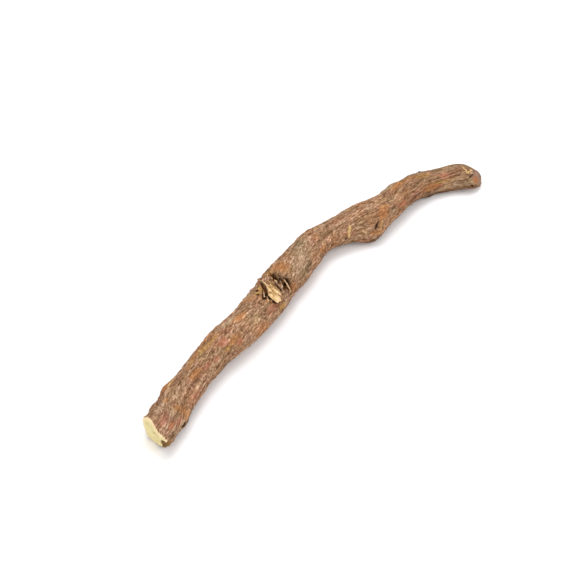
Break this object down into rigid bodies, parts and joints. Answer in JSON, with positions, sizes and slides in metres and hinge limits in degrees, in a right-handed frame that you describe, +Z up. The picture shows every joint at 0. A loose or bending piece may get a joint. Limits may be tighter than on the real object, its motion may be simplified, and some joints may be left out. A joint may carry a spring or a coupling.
{
  "type": "licorice root",
  "caption": "Dried licorice root stick, gently bent, with wrinkled bark, a torn knot, a slit scar and two slanting cut ends.",
  "frame": {"origin": "middle of the stick's bounding box, on the surface it lies on", "axes": "+X from the thick, pale cut end to the thin, worn end; +Z up from the surface; +Y to the side the bend bulges towards"},
  "size_m": [0.182, 0.0314, 0.0135],
  "materials": {
    "root_bark": "dry, dull, finely wrinkled brown bark with pale yellow wood at the cut end"
  },
  "bodies": {
    "root": {"licorice_root": "root_bark"}
  },
  "joints": []
}
